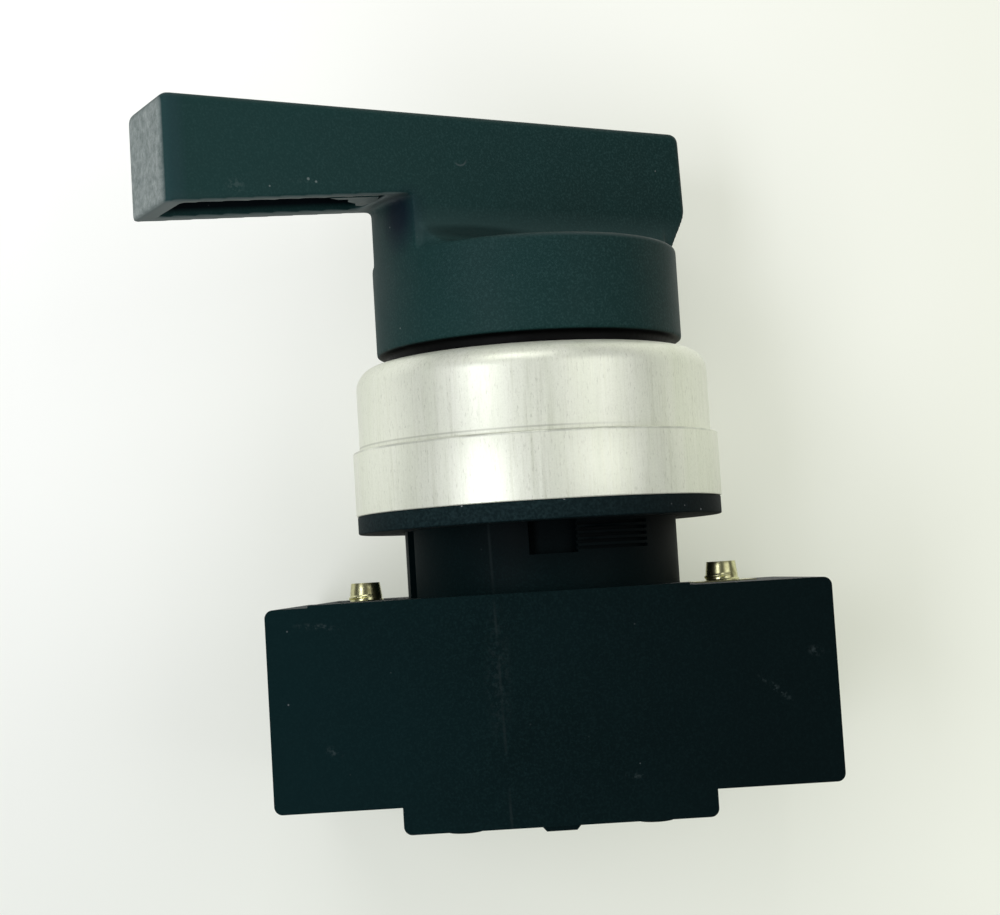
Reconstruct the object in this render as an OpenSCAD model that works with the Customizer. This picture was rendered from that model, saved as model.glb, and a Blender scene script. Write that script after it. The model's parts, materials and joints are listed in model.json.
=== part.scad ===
// Two-position lever selector switch for a panel hole of 25 mm.
// In front of the panel: a long lever knob that turns over a metal bezel ring.
// Behind it: a contact block with one make circuit and one break circuit.
// The origin is on the operator's axis at the panel face, the gasket's underside.
// +Z points out of the panel, and +X and -X run to the block's two ends.

/* [Panel seat] */
// Thickness of the rubber gasket under the bezel
gasket_t = 1.6; // [1.2:0.1:2.2]
// How far the gasket's edge stays inside the bezel's foot
gasket_inset = 0.1; // [0:0.05:0.6]
// Diameter of the barrel that passes through the panel
barrel_d = 24.5; // [24:0.1:25]
// Free length of barrel between the panel face and the contact block
panel_space = 5.9; // [5:0.1:9]

/* [Bezel ring] */
// Diameter of the bezel at its foot
bezel_d = 33; // [32.6:0.1:36]
// Width of the step on the bezel's side
bezel_step = 0.6; // [0.3:0.05:1]
// Height of the bezel above the gasket
bezel_h = 13.3; // [12.5:0.1:16]
// Height of the step on the bezel's side
bezel_base_h = 5.7; // [3:0.1:8]
// Radius of the bezel's rounded shoulder
shoulder_r = 2; // [1:0.1:2.2]
// Wall of the bezel above its step
bezel_wall = 0.8; // [0.6:0.1:1.2]

/* [Lever knob] */
// Diameter of the knob's round hub
hub_d = 27.7; // [27:0.1:29]
// Height of the hub
hub_h = 8.3; // [6:0.1:12]
// Gap between the bezel and the hub
hub_gap = 1; // [0.5:0.1:2]
// Height of the lever's top above the hub
bar_rise = 11.9; // [9:0.1:16]
// Reach of the lever's free end from the axis
bar_reach = 35.6; // [25:0.1:50]
// Reach of the lever's short end from the axis
bar_tail = 15.8; // [14.5:0.1:17]
// Width of the lever
bar_w = 8.6; // [7:0.1:12]
// Depth of the lever at its free end
bar_end_h = 9.2; // [7:0.1:9.9]
// Depth of the lever beside the hub
bar_root_h = 7.3; // [5:0.1:8.4]
// Angle between the lever at rest and the block's long side
rest_turn = 30; // [20:1:40]
// Angle between the two positions
turn = 60; // [40:1:60]

/* [Contact block] */
// Length of the block, along X
block_l = 47; // [44:0.1:54]
// Depth of the block, along Y
block_w = 28; // [27:0.1:32]
// Height of the block's ends
block_h = 17; // [16.8:0.1:22]
// Length of the raised middle at the rear
step_l = 25.9; // [25:0.1:27]
// Height of the raised middle at the rear
step_h = 2.25; // [2:0.05:4]
// Radius of the block's corners
block_corner_r = 0.7; // [0.3:0.1:1]
// Distance between the two clamp screws
clamp_pitch = 32.2; // [31.8:0.1:34]
// Distance between the two circuits
circuit_pitch = 12.8; // [12.4:0.1:13.4]

/* [Contacts] */
// Travel of each plunger, as a share of the contact chamber's height
travel_share = 0.19; // [0.12:0.005:0.2]
// Thickness of the contact strips
strip_t = 0.8; // [0.6:0.1:1]
// Width of the contact strips
strip_w = 5; // [4:0.1:5.2]
// Thickness of the moving bridges
bridge_t = 0.8; // [0.6:0.1:1]
// Width of the moving bridges
bridge_w = 3.2; // [2.6:0.1:3.6]

/* [Hidden] */
$fn = 64;
overrun = 0.5;
touch_gap = 0.02;
run_gap = 0.05;
slide_gap = 0.1;
loose_gap = 0.2;
open_gap = 0.4;

// Front operator: flange, collar and bores, from the gasket up
flange_t = 3;
flange_gap = 0.1;
shoulder_rise = 1.6;
shoulder_roof_t = 1.2;
bezel_lip_t = 2;
bezel_lip_w = 2.6;
collar_drop = 1.35;
skirt_t = 1.4;
skirt_side_gap = 0.5;
skirt_lap = 4.6;
rotor_wall = 3.3;
spindle_r = 6;
barrel_seat = 3.3;
barrel_r = barrel_d / 2;
bezel_r = bezel_d / 2;
bezel_upper_r = bezel_r - bezel_step;
bezel_bore_r = bezel_upper_r - bezel_wall;
bezel_mouth_r = bezel_upper_r - bezel_lip_w;
bezel_top = gasket_t + bezel_h;
flange_top = gasket_t + flange_t;
shoulder_z = flange_top + shoulder_rise;
collar_top = bezel_top - collar_drop;
skirt_r = bezel_mouth_r - skirt_side_gap;
skirt_bore_r = skirt_r - skirt_t;
collar_r = skirt_bore_r - open_gap;
rotor_bore_r = barrel_r - rotor_wall;
rotor_r = rotor_bore_r - run_gap;
barrel_bottom = -panel_space - barrel_seat;

// Contact block: levels from its front face to its rear
block_top = -panel_space;
block_rear = block_top - block_h;
step_rear = block_rear - step_h;
floor_t = 1.6;
pocket_floor = barrel_bottom - loose_gap;
chamber_top = pocket_floor - floor_t;
cover_t = 1.5;
cover_inner = step_rear + cover_t;
chamber_h = chamber_top - cover_inner;
travel = chamber_h * travel_share;

// Features on the barrel, placed by their angle round the axis
key_slot_angle = 198.9;
key_slot_w = 1.95;
key_slot_depth = 1.4;
pocket_from = 264;
pocket_corner_angle = 14;
pocket_to = 283.4;
pocket_h = 2.8;
pocket_depth = 1.2;
grip_to = 317;
grip_h = 2.6;
grip_depth = 0.5;
grip_ribs = 5;
grip_rib_share = 0.45;
lug_angles = [40, 220];
lug_half_angle = 12;
lug_play_angle = 2;
lug_entry_angle = 58;
lug_step_angle = 1;
lug_reach = 1.05;
lug_h = 1.4;
lug_rise = 0.6;

// Knob: levels and moulded details
hub_r = hub_d / 2;
hub_bottom = bezel_top + hub_gap;
hub_top = hub_bottom + hub_h;
hub_rim_r = 0.4;
hub_roof_t = 3.2;
hub_roof = hub_top - hub_roof_t;
bar_top = hub_top + bar_rise;
bar_edge_r = 0.9;
bar_tail_draft = 0.3;
bar_wall = 1.4;
bar_end_wall = 1.9;
bar_hollow_shift = 0.3;
bar_inner_end = hub_r + bar_wall;
bar_knee_rise = 4.9;
bar_fillet_r = 3.3;
bar_end_z = bar_top - bar_end_h;
bar_root_z = bar_top - bar_root_h;
skirt_bottom = collar_top - skirt_lap;
knob_ribs = 4;
knob_rib_t = 1.4;
knob_rib_low = collar_top + open_gap;

// Cam rotor, its drive, stop and detent
rotor_h = 10;
rotor_top = shoulder_z - loose_gap;
rotor_bottom = rotor_top - rotor_h;
drive_w = 7;
drive_depth = 4;
drive_bottom = rotor_top - drive_depth;
stop_reach = 1.5;
stop_h = 2.5;
stop_angle = 100;
stop_half_angle = 10;
stop_play_angle = 1;
ball_r = 1.5;
ball_rise = 3.4;
ball_z = rotor_bottom + ball_rise;
ball_angles = [185, 365];
ball_place_r = rotor_bore_r - touch_gap - ball_r;
notch_r = 1.7;
notch_depth = 0.4;
detent_floor_r = 3.4;
detent_wire_r = 0.15;
detent_coil_r = 1.2;
detent_turns = 3;
cam_start = 1;
cam_margin_angle = 12;
cam_steps = 24;
cam_half_w = 1.8;
cam_sink = 0.6;
cam_r = circuit_pitch / 2;
cam_rest_z = rotor_bottom - cam_start;
cam_slope = travel / turn;
cam_tilt = atan(travel / (cam_r * turn * PI / 180));

// Screw that holds the rotor to the knob's spindle
cam_screw_r = 1.45;
cam_screw_head_r = 2.7;
cam_screw_head_h = 1.8;
cam_screw_bite = 8;
cam_recess_r = 3.1;
cam_recess_h = 2.1;
cam_recess_top = rotor_bottom + cam_recess_h;
washer_t = 0.5;
washer_r = 2.9;
seal_wire_r = 0.65;
seal_groove_h = 1.5;
seal_place_r = spindle_r - seal_wire_r;
seal_z = collar_top - skirt_lap / 2;

// Contact block: walls, pads and nubs
lug_low = barrel_bottom + lug_rise - loose_gap;
lug_wall = barrel_r + lug_reach + slide_gap;
step_wall = 1.55;
chamber_l = step_l - 2 * step_wall;
side_wall = 1.6;
chamber_w = block_w - 2 * side_wall;
partition_t = 2;
front_pad_h = 0.2;
front_pad_from = -19.9;
front_pad_to = 11.8;
nub_h = 0.45;
nub_l = 3.3;
nub_w = 1;
nub_slope = 0.4;
pad_r = 2;
pad_slope = 0.5;
pad_x = 8;
pad_y = 10.2;

// Plunger: stem, carrier and window
stem_r = 1.75;
tip_gap = 0.1;
stem_tip_z = cam_rest_z - stem_r / cos(cam_tilt) - tip_gap;
carrier_l = 4.6;
carrier_w = 5.4;
carrier_head_share = 0.174;
carrier_foot_share = 0.158;
window_share = 0.38;
carrier_top = chamber_top - loose_gap;
window_top = carrier_top - chamber_h * carrier_head_share;
window_bottom = window_top - chamber_h * window_share;
carrier_bottom = window_bottom - chamber_h * carrier_foot_share;
spring_pocket_h = 1.2;
spring_pocket_r = 2;
return_coil_r = 1.6;
return_wire_r = 0.17;
return_turns = 4;
contact_coil_r = 1.25;
contact_wire_r = 0.14;
contact_turns = 4;
spring_peg_h = 0.8;
spring_peg_r = 1.25;
coil_sides = 6;
coil_rings = 8;

// Bridges, fixed strips and terminals
tip_r = 1.3;
tip_h = 0.5;
tip_x = 7.4;
bridge_end = 1.4;
bridge_half_l = tip_x + bridge_end;
strip_inner_x = tip_x - bridge_end;
strip_leg_x = step_l / 2 + slide_gap;
plate_rise = 6.9;
plate_top = block_rear + plate_rise;
plate_bottom = plate_top - strip_t;
plate_end_x = 21.4;
terminal_x = 17.8;
terminal_pocket_end = 21.9;
terminal_pocket_w = 5.6;
terminal_screw_r = 1.7;
terminal_screw_tip = 1.9;
terminal_head_r = 2.7;
terminal_head_h = 2.2;
terminal_clamp_w = 5.2;
terminal_clamp_t = 0.9;
wire_port_w = 4.8;
wire_port_h = 3.6;
circuit_y = circuit_pitch / 2;
no_tip_z = window_bottom - tip_h - travel - touch_gap;
nc_tip_z = window_top + tip_h + touch_gap;

// Clamp screws, their nuts and the cover's screws
clamp_x = clamp_pitch / 2;
clamp_r = 1.45;
clamp_point_r = 1.3;
clamp_point_h = 1.2;
clamp_reach = 1.6;
clamp_head_r = 2.75;
clamp_head_h = 2;
clamp_recess_r = 3;
clamp_recess_h = 2.4;
nut_w = 5.5;
nut_t = 2.3;
cover_screw_x = 9;
cover_screw_r = 1.1;
cover_screw_head_r = 1.9;
cover_screw_head_h = 0.8;
cover_screw_l = 7;
cover_boss_r = 2.2;
screw_slot_w = 0.6;
screw_slot_depth_share = 0.4;

black_plastic = "#1b2729";
knob_plastic = "#22302f";
white_plastic = "#d8d6c8";
metal = "#c9cbc4";
brass = "#c2a35a";
silver = "#dcdcd8";
steel = "#9a9c9e";
rubber = "#161616";

// Round bar between two levels
module bar(r, low, high) {
    translate([0, 0, low])
        cylinder(r = r, h = high - low);
}

// Ring between two levels
module tube(r_out, r_in, low, high) {
    difference() {
        bar(r_out, low, high);
        bar(r_in, low - overrun, high + overrun);
    }
}

// Part of a ring between two angles
module sector(r_in, r_out, low, high, from, to) {
    rotate([0, 0, from])
        rotate_extrude(angle = to - from)
            translate([r_in, low])
                square([r_out - r_in, high - low]);
}

// Box centred on X and Y between two levels
module slab(l, w, low, high) {
    translate([-l / 2, -w / 2, low])
        cube([l, w, high - low]);
}

// Box from one X to another, centred on Y
module beam(x_from, x_to, w, low, high) {
    translate([x_from, -w / 2, low])
        cube([x_to - x_from, w, high - low]);
}

// Rectangle with true round corners, from its lower left corner
module rounded_rect(l, h, r) {
    translate([r, 0])
        square([l - 2 * r, h]);
    translate([0, r])
        square([l, h - 2 * r]);
    for (x = [r, l - r], y = [r, h - r])
        translate([x, y])
            circle(r);
}

// Outline of a round solid of radius r whose upper edge is rounded
module dome_profile(r, low, high, edge_r) {
    translate([0, low])
        square([r, high - low - edge_r]);
    translate([0, low])
        square([r - edge_r, high - low]);
    translate([r - edge_r, high - edge_r])
        circle(edge_r);
}

// Helical spring along Z as one unbroken wire of flat sides
function coil_point(coil_r, wire_r, pitch, i, j) =
    let (t = 360 * i / coil_rings, a = 360 * j / coil_sides, r = coil_r + wire_r * cos(a))
    [r * cos(t), r * sin(t), pitch * i / coil_rings + wire_r * sin(a)];
module coil(coil_r, wire_r, low, high, turns) {
    pitch = (high - low - 2 * wire_r) / turns;
    last = turns * coil_rings;
    points = [for (i = [0:last], j = [0:coil_sides - 1])
        coil_point(coil_r, wire_r, pitch, i, j) + [0, 0, low + wire_r]];
    sides = [for (i = [0:last - 1], j = [0:coil_sides - 1])
        let (k = (j + 1) % coil_sides, a = i * coil_sides)
        each [[a + j, a + coil_sides + j, a + coil_sides + k],
              [a + j, a + coil_sides + k, a + k]]];
    caps = [[for (j = [0:coil_sides - 1]) j],
            [for (j = [coil_sides - 1:-1:0]) last * coil_sides + j]];
    polyhedron(points = points, faces = concat(sides, caps), convexity = turns);
}

// Copies a shape at both clamp screws
module at_clamps() {
    for (side = [-1, 1])
        translate([side * clamp_x, 0, 0])
            children();
}

// Copies a shape, drawn for the +X end, at the two ends of both circuits
module at_terminals() {
    for (side = [0, 1], lane = [-1, 1])
        mirror([side, 0, 0])
            translate([0, lane * circuit_y, 0])
                children();
}

// Slotted screw with its head below the level "seat" and its tip above it
module slotted_screw(shank_r, head_r, head_h, seat, tip) {
    difference() {
        union() {
            bar(shank_r, seat - touch_gap, tip);
            bar(head_r, seat - head_h, seat);
        }
        slab(2 * head_r + overrun, screw_slot_w, seat - head_h - overrun,
             seat - head_h + head_h * screw_slot_depth_share);
    }
}

// Front operator

module operator_body() {
    color(black_plastic)
        difference() {
            union() {
                bar(barrel_r, barrel_bottom, shoulder_z + shoulder_roof_t);
                bar(bezel_bore_r - flange_gap, gasket_t, flange_top);
                bar(collar_r, shoulder_z - overrun, collar_top);
                for (a = lug_angles)
                    sector(barrel_r - overrun, barrel_r + lug_reach,
                           barrel_bottom + lug_rise, barrel_bottom + lug_rise + lug_h,
                           a - lug_half_angle, a + lug_half_angle);
            }
            bar(rotor_bore_r, barrel_bottom - overrun, shoulder_z);
            bar(spindle_r + run_gap, shoulder_z - overrun, collar_top + overrun);
            stop_groove();
            detent_notches();
            key_slot();
            front_pocket();
        }
}

// Groove in which the rotor's stop runs, open to the rear for assembly
module stop_groove() {
    sector(rotor_bore_r - overrun, rotor_bore_r + stop_reach, barrel_bottom - overrun,
           shoulder_z, stop_angle - turn - stop_half_angle - stop_play_angle,
           stop_angle + stop_half_angle + stop_play_angle);
}

// Upright notches in the bore that catch the balls at both positions
module detent_notches() {
    for (a = ball_angles, step = [0, turn])
        rotate([0, 0, a - step])
            translate([rotor_bore_r + notch_depth - notch_r, 0, 0])
                bar(notch_r, barrel_bottom - overrun, ball_z + ball_r + overrun);
}

// Upright slot in the barrel's side that keys it to the panel
module key_slot() {
    rotate([0, 0, key_slot_angle])
        beam(barrel_r - key_slot_depth, barrel_r + lug_reach + overrun, key_slot_w,
             barrel_bottom - overrun, 0);
}

// Recess under the gasket with one round corner, and a shallow ribbed grip beside it
module front_pocket() {
    pitch = grip_h / grip_ribs;
    sector(barrel_r - pocket_depth, barrel_r + overrun, -pocket_h, 0,
           pocket_from, pocket_to);
    intersection() {
        sector(barrel_r - pocket_depth, barrel_r + overrun, -pocket_h, 0,
               pocket_from - pocket_corner_angle, pocket_from + touch_gap);
        rotate([0, 0, pocket_from])
            rotate([0, 90, 0])
                bar(pocket_h, 0, barrel_r + 2 * overrun);
    }
    for (i = [0:grip_ribs - 1])
        sector(barrel_r - grip_depth, barrel_r + overrun, -pitch * (i + 1),
               -pitch * (i + grip_rib_share), pocket_to, grip_to);
}

module bezel_ring() {
    color(metal)
        rotate_extrude()
            difference() {
                union() {
                    dome_profile(bezel_upper_r, gasket_t, bezel_top, shoulder_r);
                    translate([0, gasket_t])
                        square([bezel_r, bezel_base_h]);
                }
                translate([0, gasket_t - overrun])
                    square([bezel_bore_r, bezel_h - bezel_lip_t + overrun]);
                translate([0, gasket_t])
                    square([bezel_mouth_r, bezel_h + overrun]);
            }
}

module panel_gasket() {
    color(rubber)
        tube(bezel_r - gasket_inset, barrel_r + slide_gap, 0, gasket_t);
}

// Lever knob with its spindle, one moulding

module lever_knob() {
    color(knob_plastic)
        rotate([0, 0, rest_turn])
            difference() {
                union() {
                    knob_hub();
                    knob_bar();
                    knob_fillets();
                }
                bar_hollow();
                bar(cam_screw_r + touch_gap, drive_bottom - overrun,
                    drive_bottom + cam_screw_bite + overrun);
                seal_groove();
            }
}

// Hollow hub with its skirt inside the bezel, its ribs and the spindle
module knob_hub() {
    difference() {
        rotate_extrude()
            union() {
                dome_profile(hub_r, hub_bottom, hub_top, hub_rim_r);
                translate([0, skirt_bottom])
                    square([skirt_r, hub_roof - skirt_bottom]);
            }
        bar(skirt_bore_r, skirt_bottom - overrun, hub_roof);
    }
    bar(spindle_r, rotor_top, hub_roof + overrun);
    slab(drive_w, drive_w, drive_bottom + slide_gap, rotor_top + overrun);
    for (i = [0:knob_ribs - 1])
        rotate([0, 0, 360 * i / knob_ribs])
            beam(spindle_r - overrun, skirt_bore_r + overrun, knob_rib_t,
                 knob_rib_low, hub_roof + overrun);
}

// Long bar with rounded edges that stands on the hub's top. Its free length is
// cut away below the sloping underside, and its short end slopes in to the hub.
module knob_bar() {
    side = bar_w / 2 - bar_edge_r;
    base = hub_top - hub_rim_r;
    difference() {
        hull()
            for (y = [-side, side]) {
                for (x = [-bar_reach + bar_edge_r, bar_tail - bar_tail_draft - bar_edge_r])
                    translate([x, y, bar_top - bar_edge_r])
                        sphere(bar_edge_r, $fn = 32);
                for (x = [-bar_reach + bar_edge_r, bar_tail - bar_edge_r])
                    translate([x, y, base])
                        cylinder(r = bar_edge_r, h = bar_edge_r, $fn = 32);
            }
        difference() {
            side_prism(bar_w + 2 * overrun, [
                [-bar_reach - overrun, bar_end_z],
                [-hub_r, bar_root_z],
                [-hub_r + bar_w / 2, bar_root_z],
                [-hub_r + bar_w / 2, base - overrun],
                [-bar_reach - overrun, base - overrun]
            ]);
            bar(hub_r, hub_roof, bar_top);
        }
        side_prism(bar_w + 2 * overrun, [
            [bar_tail + overrun, hub_top + bar_knee_rise],
            [bar_tail, hub_top + bar_knee_rise],
            [hub_r - 2 * hub_rim_r, base],
            [bar_tail + overrun, base]
        ]);
    }
}

// Prism across the bar from an outline in X and Z
module side_prism(w, outline) {
    translate([0, w / 2, 0])
        rotate([90, 0, 0])
            linear_extrude(w)
                polygon(outline);
}

// Hollow fillets between the bar's sides and the hub's top
module knob_fillets() {
    for (side = [0, 1])
        mirror([0, side, 0])
            intersection() {
                bar(hub_r - hub_rim_r, hub_top - hub_rim_r, hub_top + bar_fillet_r);
                translate([-hub_r, bar_w / 2, hub_top])
                    rotate([90, 0, 90])
                        linear_extrude(2 * hub_r)
                            difference() {
                                translate([-hub_rim_r, -hub_rim_r])
                                    square(bar_fillet_r + hub_rim_r);
                                translate([bar_fillet_r, bar_fillet_r])
                                    circle(bar_fillet_r);
                            }
            }
}

// Hollow under the lever's free length
module bar_hollow() {
    translate([0, -bar_hollow_shift, 0])
        side_prism(bar_w - 2 * bar_wall, [
            [-bar_reach + bar_end_wall, bar_end_z - overrun],
            [-bar_inner_end, bar_end_z - overrun],
            [-bar_inner_end, bar_top - bar_wall],
            [-bar_reach + bar_end_wall, bar_top - bar_wall]
        ]);
}

// Groove in the spindle for its seal
module seal_groove() {
    tube(spindle_r + overrun, seal_place_r - seal_wire_r - touch_gap,
         seal_z - seal_groove_h / 2, seal_z + seal_groove_h / 2);
}

module spindle_seal() {
    color(rubber)
        translate([0, 0, seal_z])
            rotate_extrude()
                translate([seal_place_r, 0])
                    circle(seal_wire_r);
}

// Cam rotor: drum, stop, two helical ramps and the seats of both balls

module cam_rotor() {
    color(white_plastic)
        difference() {
            union() {
                bar(rotor_r, rotor_bottom, rotor_top);
                sector(rotor_r - overrun, rotor_r + stop_reach, rotor_top - stop_h, rotor_top,
                       stop_angle - stop_half_angle, stop_angle + stop_half_angle);
                for (a = [90, 270])
                    cam_ramp(a);
            }
            rotate([0, 0, rest_turn])
                slab(drive_w + 2 * run_gap, drive_w + 2 * run_gap, drive_bottom,
                     rotor_top + overrun);
            bar(cam_screw_r + slide_gap, rotor_bottom - overrun, rotor_top);
            bar(cam_recess_r, rotor_bottom - overrun, cam_recess_top);
            for (a = ball_angles)
                rotate([0, 0, a])
                    translate([0, 0, ball_z])
                        rotate([0, 90, 0])
                            bar(ball_r + run_gap, detent_floor_r, rotor_r + overrun);
        }
}

// Ramp whose underside falls steadily as the rotor turns over its follower
function ramp_angle(i) = -cam_margin_angle + (turn + 2 * cam_margin_angle) * i / cam_steps;
module cam_ramp(start) {
    corners = 4;
    points = [for (i = [0:cam_steps])
        let (a = start + ramp_angle(i), low = cam_rest_z - cam_slope * ramp_angle(i))
        each [for (p = [[cam_r - cam_half_w, rotor_bottom + cam_sink],
                        [cam_r + cam_half_w, rotor_bottom + cam_sink],
                        [cam_r + cam_half_w, low],
                        [cam_r - cam_half_w, low]])
            [p.x * cos(a), p.x * sin(a), p.y]]];
    sides = [for (i = [0:cam_steps - 1], j = [0:corners - 1])
        let (k = (j + 1) % corners, a = i * corners, b = a + corners)
        each [[a + j, b + j, b + k], [a + j, b + k, a + k]]];
    last = cam_steps * corners;
    caps = [[0, 1, 2, 3], [last + 3, last + 2, last + 1, last]];
    polyhedron(points = points, faces = concat(sides, caps), convexity = corners);
}

module cam_screw() {
    color(steel)
        slotted_screw(cam_screw_r, cam_screw_head_r, cam_screw_head_h,
                      cam_recess_top - washer_t, drive_bottom + cam_screw_bite);
}

module cam_washer() {
    color(steel)
        tube(washer_r, cam_screw_r + run_gap, cam_recess_top - washer_t, cam_recess_top);
}

module detent_balls() {
    color(steel)
        for (a = ball_angles)
            rotate([0, 0, a])
                translate([ball_place_r, 0, ball_z])
                    sphere(ball_r);
}

module detent_springs() {
    color(steel)
        for (a = ball_angles)
            rotate([0, 0, a])
                translate([0, 0, ball_z])
                    rotate([0, 90, 0])
                        coil(detent_coil_r, detent_wire_r, detent_floor_r + touch_gap,
                             ball_place_r - ball_r * cos(asin(detent_coil_r / ball_r)),
                             detent_turns);
}

// Contact block

module block_housing() {
    color(black_plastic)
        difference() {
            union() {
                difference() {
                    union() {
                        block_outer();
                        cover_nubs();
                    }
                    bar(barrel_r + slide_gap, pocket_floor, block_top + overrun);
                    lug_entries();
                    lug_locks();
                    contact_chambers();
                    at_terminals()
                        terminal_pocket();
                    at_clamps()
                        clamp_hole();
                    for (lane = [-1, 1])
                        translate([0, lane * circuit_y, 0])
                            bar(stem_r + slide_gap, chamber_top - overrun,
                                pocket_floor + overrun);
                }
                for (side = [-1, 1])
                    translate([side * cover_screw_x, 0, 0])
                        bar(cover_boss_r, cover_inner, chamber_top + overrun);
            }
            cover_screw_holes(cover_screw_r + run_gap);
        }
}

// Long side of the block as one outline, drawn through its depth
module block_outer() {
    translate([0, block_w / 2, 0])
        rotate([90, 0, 0])
            linear_extrude(block_w)
                union() {
                    translate([-block_l / 2, block_rear])
                        rounded_rect(block_l, block_h - front_pad_h, block_corner_r);
                    translate([-step_l / 2, step_rear])
                        rounded_rect(step_l, step_h + block_h / 2, block_corner_r);
                    translate([front_pad_from, block_top - block_h / 2])
                        square([front_pad_to - front_pad_from, block_h / 2]);
                }
}

// Low nubs on the rear rim, level with the cover's pads
module cover_nubs() {
    for (side = [-1, 1])
        translate([0, side * (chamber_w / 2 + nub_w / 2), 0])
            side_prism(nub_w, [
                [-nub_l / 2, step_rear + overrun],
                [-nub_l / 2, step_rear],
                [-nub_l / 2 + nub_slope, step_rear - nub_h],
                [nub_l / 2 - nub_slope, step_rear - nub_h],
                [nub_l / 2, step_rear],
                [nub_l / 2, step_rear + overrun]
            ]);
}

// Slots in the socket through which both lugs of the barrel come in
module lug_entries() {
    for (a = lug_angles)
        sector(barrel_r - 2 * overrun, lug_wall + run_gap, lug_low + loose_gap,
               block_top + overrun, a + lug_half_angle + lug_play_angle,
               a + lug_entry_angle - lug_half_angle - lug_step_angle);
}

// Pockets in which the lugs turn and lock
module lug_locks() {
    for (a = lug_angles)
        sector(barrel_r - overrun, lug_wall, lug_low, lug_low + lug_h + 2 * loose_gap,
               a - lug_half_angle - lug_play_angle,
               a + lug_entry_angle - lug_half_angle);
}

// Two chambers behind the socket, closed at the rear by the cover
module contact_chambers() {
    lane_w = (chamber_w - partition_t) / 2;
    for (lane = [-1, 1])
        translate([0, lane * (partition_t + lane_w) / 2, 0])
            slab(chamber_l, lane_w, cover_inner, chamber_top);
    slab(chamber_l, chamber_w, step_rear - nub_h - overrun, cover_inner);
}

// Way of one strip out of its chamber, its terminal's well and wire port
module terminal_pocket() {
    beam(chamber_l / 2 - overrun, strip_leg_x + strip_t + slide_gap,
         strip_w + 2 * slide_gap, step_rear - overrun, nc_tip_z + tip_h + strip_t + slide_gap);
    beam(strip_leg_x, terminal_pocket_end, terminal_pocket_w, block_rear - overrun, plate_top);
    beam(terminal_pocket_end - overrun, block_l / 2 + overrun, wire_port_w,
         plate_bottom - wire_port_h, plate_bottom);
    translate([terminal_x, 0, 0])
        bar(terminal_screw_r + loose_gap, plate_top - overrun,
            plate_top + terminal_screw_tip + loose_gap);
}

// Way of a clamp screw through the block, with its nut's seat in front
module clamp_hole() {
    bar(clamp_r + slide_gap, block_rear - overrun, block_top + overrun);
    bar(clamp_recess_r, block_rear - overrun, block_rear + clamp_recess_h);
    slab(nut_w + slide_gap, nut_w + slide_gap, block_top - nut_t - slide_gap,
         block_top + overrun);
}

module cover_screw_holes(r) {
    for (side = [-1, 1])
        translate([side * cover_screw_x, 0, 0])
            bar(r, step_rear - overrun, step_rear + cover_screw_head_h + cover_screw_l
                + loose_gap);
}

module rear_cover() {
    tongue_low = step_rear;
    tongue_high = no_tip_z - tip_h - strip_t - slide_gap;
    color(black_plastic)
        difference() {
            union() {
                slab(chamber_l - 2 * slide_gap, chamber_w - 2 * slide_gap, step_rear,
                     cover_inner);
                at_terminals()
                    beam(chamber_l / 2 - step_wall, step_l / 2, strip_w,
                         tongue_low, tongue_high);
                for (lane = [-1, 1])
                    translate([0, lane * circuit_y, 0])
                        bar(spring_peg_r, cover_inner - overrun, cover_inner + spring_peg_h);
                for (x = [-pad_x, pad_x], y = [-pad_y, pad_y])
                    translate([x, y, step_rear - nub_h])
                        cylinder(r1 = pad_r - pad_slope, r2 = pad_r, h = nub_h + overrun);
            }
            cover_screw_holes(cover_screw_r + slide_gap);
            for (side = [-1, 1])
                translate([side * cover_screw_x, 0, 0])
                    bar(cover_screw_head_r + slide_gap, step_rear - overrun,
                        step_rear + cover_screw_head_h);
        }
}

module cover_screws() {
    color(steel)
        for (side = [-1, 1])
            translate([side * cover_screw_x, 0, 0])
                slotted_screw(cover_screw_r, cover_screw_head_r, cover_screw_head_h,
                              step_rear + cover_screw_head_h,
                              step_rear + cover_screw_head_h + cover_screw_l);
}

module clamp_screws() {
    tip = block_top + clamp_reach;
    color(brass)
        at_clamps() {
            slotted_screw(clamp_r, clamp_head_r, clamp_head_h, block_rear + clamp_recess_h,
                          tip - clamp_point_h);
            translate([0, 0, tip - clamp_point_h])
                cylinder(r1 = clamp_r, r2 = clamp_point_r, h = clamp_point_h);
        }
}

module clamp_nuts() {
    color(brass)
        at_clamps()
            difference() {
                slab(nut_w, nut_w, block_top - nut_t - slide_gap, block_top - slide_gap);
                bar(clamp_r + run_gap, block_top - nut_t - overrun, block_top + overrun);
            }
}

// Fixed strip for the +X end: arm under the tip, leg and terminal plate
module strip(arm_low) {
    leg_end = strip_leg_x + strip_t;
    arm_high = arm_low + strip_t;
    color(brass)
        difference() {
            union() {
                beam(strip_inner_x, leg_end, strip_w, arm_low, arm_high);
                beam(strip_leg_x, leg_end, strip_w, min(arm_low, plate_bottom),
                     max(arm_high, plate_top));
                beam(strip_leg_x, plate_end_x, strip_w, plate_bottom, plate_top);
            }
            translate([terminal_x, 0, 0])
                bar(terminal_screw_r + run_gap, plate_bottom - overrun, plate_top + overrun);
        }
}

module strip_no(side) {
    mirror([side, 0, 0])
        translate([0, circuit_y, 0])
            strip(no_tip_z - tip_h - strip_t);
}

module strip_nc(side) {
    mirror([side, 0, 0])
        translate([0, -circuit_y, 0])
            strip(nc_tip_z + tip_h);
}

module fixed_tips() {
    color(silver)
        for (x = [-tip_x, tip_x]) {
            translate([x, circuit_y, 0])
                bar(tip_r, no_tip_z - tip_h, no_tip_z);
            translate([x, -circuit_y, 0])
                bar(tip_r, nc_tip_z, nc_tip_z + tip_h);
        }
}

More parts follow.
